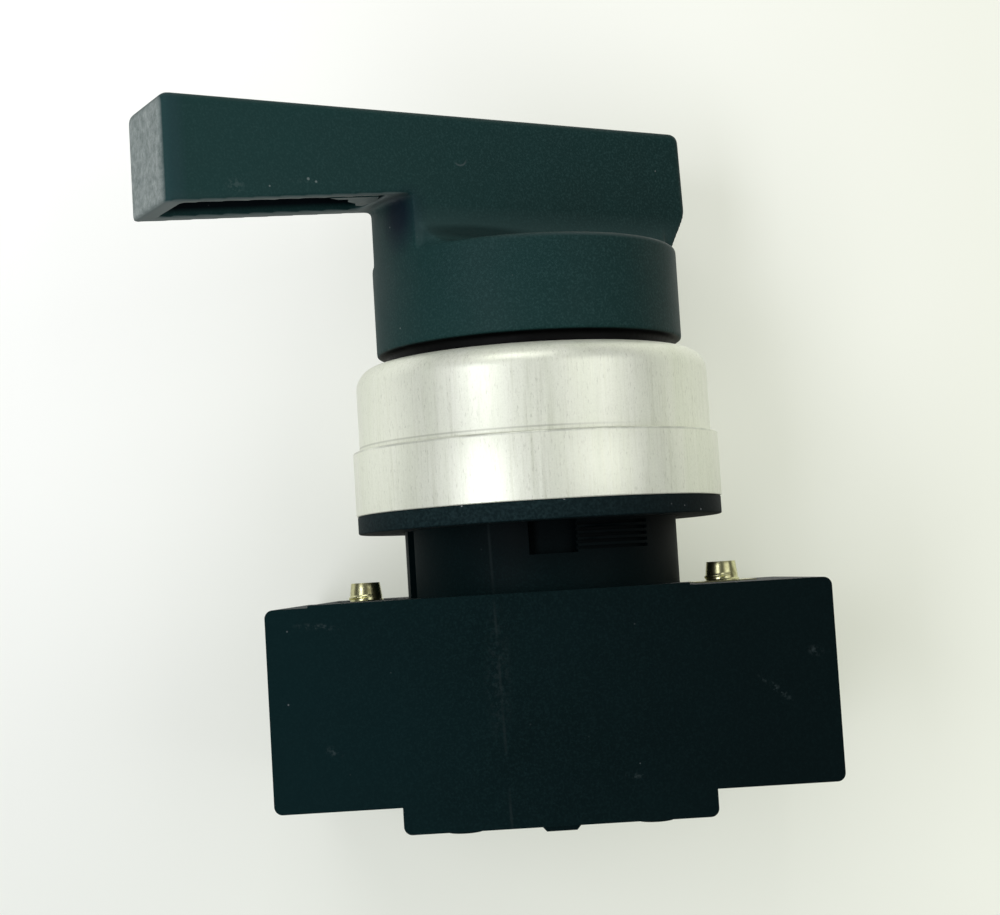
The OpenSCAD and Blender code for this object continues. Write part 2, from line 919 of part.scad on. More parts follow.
module terminal_screws() {
    color(steel)
        at_terminals()
            translate([terminal_x, 0, 0])
                slotted_screw(terminal_screw_r, terminal_head_r, terminal_head_h,
                              plate_bottom - terminal_clamp_t, plate_top + terminal_screw_tip);
}

module terminal_clamps() {
    color(steel)
        at_terminals()
            translate([terminal_x, 0, 0])
                difference() {
                    slab(terminal_clamp_w, terminal_clamp_w, plate_bottom - terminal_clamp_t,
                         plate_bottom);
                    bar(terminal_screw_r + run_gap, plate_bottom - terminal_clamp_t - overrun,
                        plate_bottom + overrun);
                }
}

// Moving side of one circuit, drawn on the axis

module plunger() {
    color(white_plastic)
        difference() {
            union() {
                bar(stem_r, carrier_top - overrun, stem_tip_z);
                translate([0, 0, stem_tip_z])
                    sphere(stem_r);
                slab(carrier_l, carrier_w, carrier_bottom, carrier_top);
            }
            slab(carrier_l + 2 * overrun, bridge_w + 2 * slide_gap, window_bottom, window_top);
            bar(spring_pocket_r, carrier_bottom - overrun, carrier_bottom + spring_pocket_h);
        }
}

module bridge(low) {
    color(brass)
        slab(2 * bridge_half_l, bridge_w, low, low + bridge_t);
}

module bridge_tips(low) {
    color(silver)
        for (x = [-tip_x, tip_x])
            translate([x, 0, 0])
                bar(tip_r, low, low + tip_h);
}

module contact_spring(low, high) {
    color(steel)
        coil(contact_coil_r, contact_wire_r, low + touch_gap, high - touch_gap, contact_turns);
}

module return_spring() {
    color(steel)
        coil(return_coil_r, return_wire_r, cover_inner + touch_gap,
             carrier_bottom + spring_pocket_h - touch_gap, return_turns);
}

// Places a shape in the make circuit's lane or in the break circuit's
module in_lane(lane) {
    translate([0, lane * circuit_y, 0])
        children();
}

operator_body();
bezel_ring();
panel_gasket();
lever_knob();
cam_rotor();
cam_screw();
cam_washer();
spindle_seal();
detent_balls();
detent_springs();
block_housing();
rear_cover();
cover_screws();
clamp_screws();
clamp_nuts();
strip_no(1);  // strip_no_left
strip_no(0);  // strip_no_right
strip_nc(1);  // strip_nc_left
strip_nc(0);  // strip_nc_right
fixed_tips();
terminal_screws();
terminal_clamps();
in_lane(1) plunger();  // plunger_no
in_lane(1) bridge(window_bottom);  // bridge_no
in_lane(1) bridge_tips(window_bottom - tip_h);  // bridge_tips_no
in_lane(1) contact_spring(window_bottom + bridge_t, window_top);  // contact_spring_no
in_lane(1) return_spring();  // return_spring_no
in_lane(-1) plunger();  // plunger_nc
in_lane(-1) bridge(window_top - bridge_t);  // bridge_nc
in_lane(-1) bridge_tips(window_top);  // bridge_tips_nc
in_lane(-1) contact_spring(window_bottom, window_top - bridge_t);  // contact_spring_nc
in_lane(-1) return_spring();  // return_spring_nc
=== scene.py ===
"""Looks of the selector switch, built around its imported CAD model, in metres."""

import json
import math

import bpy
from mathutils import Matrix, Vector


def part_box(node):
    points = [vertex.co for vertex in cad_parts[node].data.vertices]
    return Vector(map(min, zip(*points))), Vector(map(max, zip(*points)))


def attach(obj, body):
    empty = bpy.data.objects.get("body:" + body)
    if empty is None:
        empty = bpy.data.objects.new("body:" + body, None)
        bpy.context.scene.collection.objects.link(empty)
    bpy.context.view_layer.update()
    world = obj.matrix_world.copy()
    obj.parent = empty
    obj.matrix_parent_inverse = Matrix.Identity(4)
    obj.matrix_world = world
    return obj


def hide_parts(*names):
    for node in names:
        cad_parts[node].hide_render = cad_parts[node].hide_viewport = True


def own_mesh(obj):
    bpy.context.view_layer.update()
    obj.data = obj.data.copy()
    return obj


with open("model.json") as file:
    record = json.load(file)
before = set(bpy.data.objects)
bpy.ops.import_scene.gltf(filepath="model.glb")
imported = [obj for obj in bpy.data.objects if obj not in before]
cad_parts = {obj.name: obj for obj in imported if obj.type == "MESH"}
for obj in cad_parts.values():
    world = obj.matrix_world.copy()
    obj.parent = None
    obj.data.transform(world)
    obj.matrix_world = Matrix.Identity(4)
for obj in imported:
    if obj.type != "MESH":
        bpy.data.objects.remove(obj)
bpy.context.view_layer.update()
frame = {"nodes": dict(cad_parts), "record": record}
nodes = frame["nodes"]
slot_of = {s["node"]: s["material_slot"] for s in frame["record"]["subparts"]}
MM = 0.001
bpy.context.scene.view_settings.view_transform = "Standard"


# Camera

CAM_X, CAM_Y, CAM_Z = -3.25, -163.2, -4.4
CAM_PITCH, CAM_ROLL, CAM_YAW = 0.0655, -0.061, 0.0
CAM_FOCAL_PX = 1800
CAM_NEAR, CAM_FAR = 0.005, 20
FRAME_W = 1000
SENSOR = 36


def make_camera():
    data = bpy.data.cameras.new("camera")
    data.sensor_fit = "HORIZONTAL"
    data.sensor_width = SENSOR
    data.lens = CAM_FOCAL_PX / FRAME_W * SENSOR
    data.clip_start, data.clip_end = CAM_NEAR, CAM_FAR
    cam = bpy.data.objects.new("camera", data)
    bpy.context.scene.collection.objects.link(cam)
    turn = (
        Matrix.Rotation(-CAM_YAW, 3, "Z")
        @ Matrix.Rotation(math.pi / 2 + CAM_PITCH, 3, "X")
        @ Matrix.Rotation(CAM_ROLL, 3, "Z")
    )
    cam.matrix_world = Matrix.LocRotScale(
        Vector((CAM_X, CAM_Y, CAM_Z)) * MM, turn, Vector((1, 1, 1))
    )
    bpy.context.scene.camera = cam


make_camera()


# Node helpers


class Mat:
    """A Principled material and short ways to add its procedural nodes."""

    def __init__(self, name, rough=0.5, metal=0.0, spec=0.5):
        self.m = bpy.data.materials.new(name)
        self.m.use_nodes = True
        self.t = self.m.node_tree
        self.bsdf = self.t.nodes["Principled BSDF"]
        self.bsdf.inputs["Roughness"].default_value = rough
        self.bsdf.inputs["Metallic"].default_value = metal
        self.bsdf.inputs["Specular IOR Level"].default_value = spec
        self.coord = self.t.nodes.new("ShaderNodeTexCoord")

    def link(self, a, b):
        self.t.links.new(a, b)

    def node(self, kind, **values):
        n = self.t.nodes.new("ShaderNode" + kind)
        for key, value in values.items():
            setattr(n, key, value)
        return n

    def where(self, scale=(1, 1, 1), turn=(0, 0, 0)):
        """Object coordinates, stretched and turned."""
        n = self.node("Mapping")
        n.inputs["Scale"].default_value = scale
        n.inputs["Rotation"].default_value = turn
        self.link(self.coord.outputs["Object"], n.inputs["Vector"])
        return n.outputs["Vector"]

    def noise(self, scale, detail=2.0, rough=0.5, place=None):
        n = self.node("TexNoise")
        n.inputs["Scale"].default_value = scale
        n.inputs["Detail"].default_value = detail
        n.inputs["Roughness"].default_value = rough
        self.link(place or self.where(), n.inputs["Vector"])
        return n.outputs["Fac"]

    def specks(self, scale, size, place=None):
        """1 in small dots round the cells of a Voronoi pattern, else 0."""
        n = self.node("TexVoronoi")
        n.inputs["Scale"].default_value = scale
        self.link(place or self.where(), n.inputs["Vector"])
        return self.ramp(n.outputs["Distance"], size, size * 0.4)

    def ramp(self, value, low, high, to_low=0.0, to_high=1.0):
        n = self.node("MapRange")
        n.inputs["From Min"].default_value = low
        n.inputs["From Max"].default_value = high
        n.inputs["To Min"].default_value = to_low
        n.inputs["To Max"].default_value = to_high
        self.link(value, n.inputs["Value"])
        return n.outputs["Result"]

    def math(self, op, a, b):
        n = self.node("Math", operation=op)
        for socket, value in zip(n.inputs, (a, b)):
            if isinstance(value, (int, float)):
                socket.default_value = value
            else:
                self.link(value, socket)
        return n.outputs["Value"]

    def mix(self, fac, a, b):
        n = self.node("Mix", data_type="RGBA")
        for name, value in (("Factor", fac), ("A", a), ("B", b)):
            socket = [s for s in n.inputs if s.name == name and s.enabled][0]
            if isinstance(value, (tuple, list)):
                socket.default_value = (*value, 1)
            elif isinstance(value, (int, float)):
                socket.default_value = value
            else:
                self.link(value, socket)
        return [s for s in n.outputs if s.enabled][0]

    def bump(self, height, strength, distance):
        n = self.node("Bump")
        n.inputs["Strength"].default_value = strength
        n.inputs["Distance"].default_value = distance
        self.link(height, n.inputs["Height"])
        self.link(n.outputs["Normal"], self.bsdf.inputs["Normal"])

    def along(self, direction):
        """Distance of the point from the origin along a direction, in metres."""
        n = self.node("VectorMath", operation="DOT_PRODUCT")
        self.link(self.coord.outputs["Object"], n.inputs[0])
        n.inputs[1].default_value = direction
        return n.outputs["Value"]

    def near(self, centre, radii, turn=(0, 0, 0)):
        """Distance from a centre in units of three radii: under 1 inside that ellipsoid."""
        n = self.node("Mapping", vector_type="TEXTURE")
        n.inputs["Location"].default_value = centre
        n.inputs["Rotation"].default_value = turn
        n.inputs["Scale"].default_value = radii
        self.link(self.coord.outputs["Object"], n.inputs["Vector"])
        size = self.node("VectorMath", operation="LENGTH")
        self.link(n.outputs["Vector"], size.inputs[0])
        return size.outputs["Value"]

    def band(self, value, centre, half, soft):
        """1 within half of the centre value, falling to 0 over soft."""
        off = self.math("ABSOLUTE", self.math("SUBTRACT", value, centre), 0)
        return self.ramp(off, half + soft, half)

    def worn(self, col, marks, light):
        """Adds rubbed patches: each mark is (centre, radii, turn, strength) in metres."""
        grit = self.ramp(self.noise(2600, 3, 0.7), 0.48, 0.62)
        for centre, radii, turn, strength in marks:
            inside = self.ramp(self.near(centre, radii, turn), 1.0, 0.3, 0, strength)
            col = self.mix(self.math("MULTIPLY", inside, grit), col, light)
        return col

    def to(self, socket, value):
        self.link(value, self.bsdf.inputs[socket])


BEZEL_STEP_Z, BEZEL_RIM_Z = 7.22, 7.68


def satin_aluminium(name):
    """Turned and anodised aluminium, slightly milky, with fine upright streaks and painted dark lines
    of shade at its rim and step.
    """
    s = Mat(name, rough=0.38, metal=0.45, spec=0.5)
    streak = s.noise(1, 4, 0.6, s.where((4200, 4200, 160)))
    broad = s.noise(1, 3, 0.5, s.where((600, 600, 25)))
    col = s.mix(s.ramp(broad, 0.3, 0.7), (0.83, 0.86, 0.71), (0.90, 0.915, 0.79))
    col = s.mix(s.ramp(streak, 0.25, 0.5, 0.45, 0), col, (0.64, 0.66, 0.50))
    pits = s.noise(1, 3, 0.6, s.where((7500, 7500, 1700)))
    col = s.mix(s.ramp(pits, 0.58, 0.7, 0, 0.55), col, (0.52, 0.53, 0.42))
    col = s.mix(s.ramp(s.noise(6500, 2, 0.6), 0.35, 0.65, 0, 0.2), col, (0.62, 0.64, 0.52))
    height = s.along((0, 0, 1))
    # painted shade: a dark line along the top rim, strongest on the left
    rim = s.math("MULTIPLY", s.band(height, BEZEL_RIM_Z * MM, 0.03 * MM, 0.09 * MM),
                 s.ramp(s.along((1, 0, 0)), 9 * MM, 1 * MM, 0, 0.5))
    col = s.mix(rim, col, (0.36, 0.37, 0.30))
    # painted shade: a patchy dark line along the step between the two diameters
    step_shade_line = s.band(height, BEZEL_STEP_Z * MM, 0.05 * MM, 0.12 * MM)
    patchy = s.ramp(s.noise(1, 3, 0.5, s.where((220, 220, 1))), 0.4, 0.62, 0.1, 0.6)
    col = s.mix(s.math("MULTIPLY", step_shade_line, patchy), col, (0.3, 0.31, 0.27))
    s.to("Base Color", col)
    s.to("Roughness", s.ramp(streak, 0.3, 0.7, 0.36, 0.48))
    s.bump(s.math("ADD", streak, pits), 0.12, 0.00004)
    return s.m


def rubber(name):
    s = Mat(name, rough=0.75, spec=0.1)
    grain = s.noise(3800, 3, 0.6)
    col = s.mix(s.ramp(grain, 0.4, 0.75), (0.0014, 0.0090, 0.0105), (0.0100, 0.0250, 0.0270))
    # painted shade: darker towards +x, the side away from the light
    painted_shade_right = s.ramp(s.along((1, 0, 0)), -2 * MM, 17 * MM, 0, 0.8)
    col = s.mix(painted_shade_right, col, (0.0003, 0.0026, 0.0030))
    dust = s.math("MULTIPLY", s.specks(900, 0.09), s.ramp(s.noise(420), 0.45, 0.55, 0, 0.8))
    s.to("Base Color", s.mix(dust, col, (0.34, 0.36, 0.36)))
    s.bump(grain, 0.3, 0.0001)
    return s.m


def plated(name, base, dark, rough, scale=900):
    """Plated or drawn metal: slow tarnish, fine scratches along one way."""
    s = Mat(name, rough=rough, metal=1.0)
    tarnish = s.noise(scale, 4, 0.6)
    fine = s.noise(1, 2, 0.5, s.where((900, 900, 9000)))
    s.to("Base Color", s.mix(s.ramp(tarnish, 0.42, 0.72), base, dark))
    s.to("Roughness", s.ramp(tarnish, 0.3, 0.7, rough * 0.8, rough * 1.3))
    s.bump(fine, 0.1, 0.00002)
    return s.m


def pale_plastic(name):
    s = Mat(name, rough=0.45, spec=0.4)
    cloud = s.noise(240, 3, 0.5)
    s.to("Base Color", s.mix(s.ramp(cloud, 0.3, 0.7), (0.7, 0.68, 0.6), (0.76, 0.74, 0.66)))
    s.bump(s.noise(4200, 2, 0.5), 0.15, 0.00005)
    return s.m


REST_TURN = math.radians(30)
HUB_BOTTOM = 15.9 * MM
LEVER_DIR = (-math.cos(REST_TURN), -math.sin(REST_TURN), 0)
FACE_DIR = (math.sin(REST_TURN), -math.cos(REST_TURN), 0)
LIP_Z, LIP_RISE = 30.02, 0.087
LEVER_HALF_W = 4.3

# Rubbed places on the lever: along, height, three radii, strength
LEVER_MARKS = (
    (29.5, 28.6, (1.1, 0.8, 0.7), 0.9),
    (23.5, 29.3, (2.6, 2.0, 0.22), 0.4),
    (18.2, 28.1, (1.3, 2.0, 0.5), 0.35),
)
# Pale dots on the lever: along, height, radius
LEVER_DOTS = ((23.0, 29.5, 0.16), (22.3, 29.3, 0.13), (26.5, 28.7, 0.1))


def on_lever(along, out, z):
    """A point beside the lever's near face: along it, out from its middle, up, in mm."""
    x = LEVER_DIR[0] * along + FACE_DIR[0] * out
    y = LEVER_DIR[1] * along + FACE_DIR[1] * out
    return (x * MM, y * MM, z * MM)


def lever_plastic(name):
    """The lever's plastic, with its coarse end face, rubbed edges and scratches, and painted light,
    shade and reflection: a pale end face, pale lips, fillet band and rim, and a dark hollow, lens,
    corner and skirt.
    """
    half_w = LEVER_HALF_W
    s = Mat(name, rough=0.6, spec=0.13)
    grain = s.noise(5200, 3, 0.6)
    cloud = s.noise(150, 4, 0.55)
    base, light = (0.0016, 0.0185, 0.0172), (0.0150, 0.045, 0.0430)
    col = s.mix(s.ramp(cloud, 0.38, 0.66), base, [c * 1.12 for c in base])
    col = s.mix(s.ramp(grain, 0.47, 0.70, 0, 0.85), col, light)
    col = s.worn(col, [
        (on_lever(along, half_w, z), tuple(r * MM for r in radii), (0, 0, REST_TURN), strength)
        for along, z, radii, strength in LEVER_MARKS
    ], (0.05, 0.075, 0.072))
    for along, z, radius in LEVER_DOTS:
        spot = on_lever(along, half_w, z)
        dot = s.ramp(s.near(spot, (radius * MM, radius * MM, radius * MM)), 1.0, 0.5)
        col = s.mix(dot, col, (0.2, 0.24, 0.23))
    tip = s.band(s.along(LEVER_DIR), 34.7 * MM, 0.3 * MM, 0.9 * MM)
    col = s.mix(s.math("MULTIPLY", tip, 0.55), col, (0.020, 0.038, 0.055))
    # painted light: paler towards the free end
    free_end_light = s.ramp(s.along(LEVER_DIR), -15 * MM, 36 * MM, 0.0, 0.6)
    col = s.mix(free_end_light, col, (0.012, 0.050, 0.047))
    # painted light: a pale band on the fillet at the foot of the near face
    beside = s.ramp(s.along(FACE_DIR), (half_w - 0.25) * MM, (half_w - 0.05) * MM)
    foot = s.band(s.along((0, 0, 1)), 25.8 * MM, 0.4 * MM, 1.9 * MM)
    col = s.mix(s.math("MULTIPLY", s.math("MULTIPLY", beside, foot), 0.55), col,
                (0.024, 0.050, 0.048))
    # painted shade: a dark lens where the near face meets the hub
    dark_lens_shade = s.near(on_lever(7.4, half_w + 1.0, 25.5), (6.6 * MM, 3.0 * MM, 0.9 * MM), (0, 0, REST_TURN))
    col = s.mix(s.ramp(dark_lens_shade, 1.0, 0.5, 0, 0.85), col, (0.0030, 0.0170, 0.0165))
    # painted reflection: a dark blue patch at the left front where the bar meets the hub
    corner = s.near((-10.8 * MM, -8.6 * MM, 27.4 * MM), (3.0 * MM, 3.0 * MM, 3.9 * MM))
    col = s.mix(s.ramp(corner, 1.0, 0.3, 0, 0.9), col, (0.0002, 0.0060, 0.0150))
    above = s.along((LEVER_DIR[0] * LIP_RISE, LEVER_DIR[1] * LIP_RISE, 1))
    down = s.node("VectorMath", operation="DOT_PRODUCT")
    s.link(s.coord.outputs["Normal"], down.inputs[0])
    down.inputs[1].default_value = (0, 0, -1)
    # painted highlight: pale down-facing lips under the bar's outer half
    lip_highlight = s.math("MULTIPLY", s.ramp(down.outputs["Value"], 0.45, 0.9, 0, 0.5),
                 s.ramp(above, 30.5 * MM, 30.25 * MM))
    lip_highlight = s.math("MULTIPLY", lip_highlight, s.ramp(s.along(LEVER_DIR), 13.5 * MM, 15 * MM))
    col = s.mix(lip_highlight, col, (0.20, 0.24, 0.23))
    # painted shade: dark inside the bar's hollow
    across = s.math("ABSOLUTE", s.along(FACE_DIR), 0)
    hollow = s.math("MULTIPLY", s.ramp(across, 3.25 * MM, 3.0 * MM),
                    s.ramp(above, 30.4 * MM, 30.8 * MM))
    hollow = s.math("MULTIPLY", hollow, s.band(s.along(LEVER_DIR), 24.5 * MM, 9.2 * MM, 0.4 * MM))
    hollow = s.math("MULTIPLY", hollow, s.ramp(s.along((0, 0, 1)), 34.8 * MM, 34.6 * MM))
    col = s.mix(hollow, col, (0.0006, 0.0045, 0.0070))
    # painted highlight: a pale line on the hub's rim, towards the right
    rim = s.math("MULTIPLY", s.band(s.along((0, 0, 1)), 24.02 * MM, 0.06 * MM, 0.2 * MM),
                 s.ramp(s.near((0, 0, 0), (13.6 * MM, 13.6 * MM, 1)), 0.98, 1.0))
    rim = s.math("MULTIPLY", rim, s.ramp(s.along((1, 0, 0)), -3 * MM, 5 * MM, 0, 0.6))
    col = s.mix(rim, col, (0.045, 0.065, 0.063))
    crescent = s.near(on_lever(8.45, half_w, 32.15), (0.62 * MM, 0.62 * MM, 0.62 * MM))
    lower = s.ramp(s.along((0.25, 0, -1)), -31.95 * MM - 1.3 * MM, -31.6 * MM - 1.3 * MM)
    ring = s.math("MULTIPLY", s.band(crescent, 1.0, 0.05, 0.12), lower)
    col = s.mix(s.math("MULTIPLY", ring, 0.4), col, (0.09, 0.11, 0.11))
    # painted shade: near black below the hub's bottom, in the gap over the bezel
    skirt_shade = s.ramp(s.along((0, 0, 1)), HUB_BOTTOM + 0.12 * MM, HUB_BOTTOM)
    col = s.mix(skirt_shade, col, (0.0006, 0.0008, 0.0008))
    # the end face has a coarse texture, and its pale colour is painted light from the left
    end = s.ramp(s.along(LEVER_DIR), 35.35 * MM, 35.6 * MM)
    coarse = s.noise(1500, 5, 0.75)
    pale = s.mix(s.ramp(coarse, 0.36, 0.66), (0.155, 0.19, 0.178), (0.33, 0.37, 0.35))
    col = s.mix(end, col, pale)
    dust = s.math("MULTIPLY", s.specks(620, 0.06), s.ramp(s.noise(300), 0.62, 0.68, 0, 0.5))
    s.to("Base Color", s.mix(dust, col, (0.3, 0.33, 0.32)))
    s.to("Roughness", s.ramp(cloud, 0.3, 0.75, 0.55, 0.66))
    rough_end = s.math("MULTIPLY", end, s.math("MULTIPLY", coarse, 3))
    s.bump(s.math("ADD", grain, rough_end), 0.18, 0.00006)
    return s.m


BLOCK_NEAR_Y = -14.0
# Rubbed places on the block's near side: x, z, three radii, tilt, strength
BLOCK_MARKS = (
    (-19.0, -7.7, (2.4, 1, 0.35), 0.08, 0.4),
    (-18.3, -18.0, (0.9, 1, 0.5), 0.4, 0.4),
    (18.3, -15.0, (2.0, 1, 0.35), 0.7, 0.4),
    (21.8, -12.1, (0.8, 1, 0.5), 0.2, 0.35),
    (6.2, -21.4, (1.0, 1, 0.3), 0.1, 0.3),
    (-4.5, -12.5, (1.3, 1, 6.5), 0.03, 0.12),
)


def block_plastic(name):
    """The housing's near-black plastic, with dust, rubbed corners and a mould line, and painted light
    on its left and painted shade on its right and under the bezel.
    """
    s = Mat(name, rough=0.62, spec=0.05)
    grain = s.noise(5600, 3, 0.6)
    cloud = s.noise(120, 5, 0.6)
    base = (0.0004, 0.0064, 0.0070)
    col = s.mix(s.ramp(cloud, 0.35, 0.7), base, (0.0009, 0.0082, 0.0090))
    col = s.mix(s.ramp(grain, 0.46, 0.74, 0, 0.75), col, (0.0040, 0.016, 0.0165))
    # painted light: paler towards -x, the lit side
    painted_light_left = s.ramp(s.along((-1, 0, 0)), 4 * MM, 22 * MM, 0, 0.6)
    col = s.mix(painted_light_left, col, (0.0012, 0.0135, 0.0150))
    # painted shade: darker towards +x, the side away from the light
    painted_shade_right = s.ramp(s.along((1, 0, 0)), -6 * MM, 16 * MM, 0, 0.65)
    col = s.mix(painted_shade_right, col, (0.0002, 0.0030, 0.0032))
    # painted shade: darker high on the block under the bezel, most on the right
    barrel_shade = s.math("MULTIPLY", s.ramp(s.along((0, 0, 1)), -6.0 * MM, -1.5 * MM, 0, 0.9),
                    s.ramp(s.along((1, 0, 0)), -11 * MM, -2 * MM, 0.35, 1))
    col = s.mix(barrel_shade, col, (0.0002, 0.0016, 0.0020))
    col = s.worn(col, [
        ((x * MM, BLOCK_NEAR_Y * MM, z * MM), tuple(r * MM for r in radii), (0, tilt, 0), strength)
        for x, z, radii, tilt, strength in BLOCK_MARKS
    ], (0.045, 0.062, 0.062))
    line = s.band(s.along((1, 0, 0.02)), -4.6 * MM, 0.04 * MM, 0.12 * MM)
    broken = s.ramp(s.noise(220, 3), 0.4, 0.6, 0, 0.35)
    col = s.mix(s.math("MULTIPLY", line, broken), col, (0.016, 0.024, 0.024))
    dust = s.math("MULTIPLY", s.specks(700, 0.07), s.ramp(s.noise(260), 0.58, 0.66, 0, 0.6))
    s.to("Base Color", s.mix(dust, col, (0.14, 0.16, 0.16)))
    s.to("Roughness", s.ramp(cloud, 0.3, 0.75, 0.55, 0.66))
    s.bump(grain, 0.16, 0.00006)
    return s.m


MATERIALS = {
    "knob_plastic": lever_plastic("knob_plastic"),
    "housing_plastic": block_plastic("housing_plastic"),
    "bezel_metal": satin_aluminium("bezel_metal"),
    "gasket_rubber": rubber("gasket_rubber"),
    "cam_plastic": pale_plastic("cam_plastic"),
    "screw_brass": plated("screw_brass", (0.62, 0.61, 0.35), (0.30, 0.28, 0.13), 0.28),
    "contact_brass": plated("contact_brass", (0.75, 0.55, 0.25), (0.5, 0.33, 0.14), 0.3),
    "contact_silver": plated("contact_silver", (0.85, 0.85, 0.83), (0.6, 0.6, 0.58), 0.25),
    "plated_steel": plated("plated_steel", (0.6, 0.6, 0.57), (0.36, 0.35, 0.33), 0.32),
    "spring_steel": plated("spring_steel", (0.5, 0.5, 0.5), (0.3, 0.3, 0.3), 0.3, 2200),
}


def paint(obj, slot):
    obj.data.materials.clear()
    obj.data.materials.append(MATERIALS[slot])
    return obj


for name, obj in nodes.items():
    paint(obj, slot_of[name])


# Lever and rounded edges

VOXEL = 0.2 * MM
SAME_POINT = 1e-6


def soft_copy(node, name, turn, voxel, rounds, share):
    """A copy of a CAD node with its edges and inner corners softened, as moulding does."""
    mesh = nodes[node].data.copy()
    mesh.transform(Matrix.Rotation(-turn, 4, "Z"))
    obj = bpy.data.objects.new(name, mesh)
    bpy.context.scene.collection.objects.link(obj)
    weld = obj.modifiers.new("weld", "WELD")
    weld.merge_threshold = SAME_POINT
    remesh = obj.modifiers.new("remesh", "REMESH")
    remesh.mode = "VOXEL"
    remesh.voxel_size = voxel
    smooth = obj.modifiers.new("smooth", "SMOOTH")
    smooth.factor, smooth.iterations = 0.5, rounds
    thin = obj.modifiers.new("thin", "DECIMATE")
    thin.ratio = share
    graph = bpy.context.evaluated_depsgraph_get()
    graph.update()
    final = bpy.data.meshes.new_from_object(obj.evaluated_get(graph))
    final.transform(Matrix.Rotation(turn, 4, "Z"))
    obj.modifiers.clear()
    obj.data = final
    for face in final.polygons:
        face.use_smooth = True
    paint(obj, slot_of[node])
    return obj


lever = soft_copy("lever_knob", "lever_moulding", REST_TURN, VOXEL, 6, 0.5)
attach(lever, "lever")
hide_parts("lever_knob")


def round_edges(node, width, steps=3, angle=35):
    """Rounds a CAD node's sharp edges."""
    obj = nodes[node]
    weld = obj.modifiers.new("weld", "WELD")
    weld.merge_threshold = SAME_POINT
    bevel = obj.modifiers.new("round", "BEVEL")
    bevel.width, bevel.segments = width, steps
    bevel.limit_method = "ANGLE"
    bevel.angle_limit = math.radians(angle)
    bevel.use_clamp_overlap = True


round_edges("bezel_ring", 0.14 * MM)
round_edges("panel_gasket", 0.15 * MM)
round_edges("block_housing", 0.1 * MM, 2, 50)
round_edges("clamp_screws", 0.16 * MM, 3, 30)


# Small parts


def add_mesh(name, verts, faces, slot, body, smooth=True):
    """A piece of the object in millimetres, finished and riding on its body."""
    mesh = bpy.data.meshes.new(name)
    mesh.from_pydata([Vector(v) * MM for v in verts], [], faces)
    for face in mesh.polygons:
        face.use_smooth = smooth
    obj = bpy.data.objects.new(name, mesh)
    bpy.context.scene.collection.objects.link(obj)
    paint(obj, slot)
    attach(obj, body)
    return obj


THREAD_PITCH = 0.5
THREAD_ROOT, THREAD_CREST = 1.4, 1.57
THREAD_FOOT_HALF, THREAD_TIP_HALF = 0.24, 0.05
THREAD_TOP, THREAD_TURNS = -5.15, 5
THREAD_STEPS = 40
CLAMP_X = 16.1


def screw_thread(name, x):
    """The raised helix on the end of a clamp screw; it fades out at both ends."""
    verts, faces = [], []
    count = THREAD_TURNS * THREAD_STEPS
    for i in range(count + 1):
        a = 2 * math.pi * i / THREAD_STEPS
        fade = min(1, i / THREAD_STEPS * 2, (count - i) / THREAD_STEPS * 2)
        crest = THREAD_ROOT + (THREAD_CREST - THREAD_ROOT) * fade
        z = THREAD_TOP - THREAD_PITCH * (i / THREAD_STEPS + 0.5)
        for r, dz in ((THREAD_ROOT, THREAD_FOOT_HALF), (crest, THREAD_TIP_HALF),
                      (crest, -THREAD_TIP_HALF), (THREAD_ROOT, -THREAD_FOOT_HALF)):
            verts.append((x + r * math.cos(a), -r * math.sin(a), z + dz))
    for i in range(count):
        for k in range(4):
            n = (k + 1) % 4
            faces.append((4 * i + k, 4 * i + n, 4 * i + 4 + n, 4 * i + 4 + k))
    faces += [(3, 2, 1, 0), (4 * count, 4 * count + 1, 4 * count + 2, 4 * count + 3)]
    add_mesh(name, verts, faces, "screw_brass", "base", False)


screw_thread("clamp_thread_left", -CLAMP_X)
screw_thread("clamp_thread_right", CLAMP_X)


def mould_web():
    """Torn web of plastic in the near inner corner of the lever's hollow."""
    thick = 0.16
    outline = [(16.0, 3.2), (20.6, 3.25), (19.4, 2.3), (18.3, 2.0), (17.9, 1.0), (17.0, 0.6),
               (16.4, -0.6), (15.6, -1.0), (15.2, 1.0)]
    lips = [LIP_Z - LIP_RISE * a for a, o in outline]
    top = [on_lever(a, o, z + thick + 0.1 * (1 + math.sin(3 * a + o)))
           for (a, o), z in zip(outline, lips)]
    under = [on_lever(a, o, z + 0.05 * math.sin(4 * a - o)) for (a, o), z in zip(outline, lips)]
    n = len(outline)
    verts = [Vector(v) / MM for v in top + under]
    faces = [tuple(range(n)), tuple(reversed(range(n, 2 * n)))]
    faces += [(i, n + i, n + (i + 1) % n, (i + 1) % n) for i in range(n)]
    add_mesh("mould_web", verts, faces, "knob_plastic", "lever", False)


mould_web()


# Springs

WIRE_SIDES = 10
RINGS_PER_TURN = 28


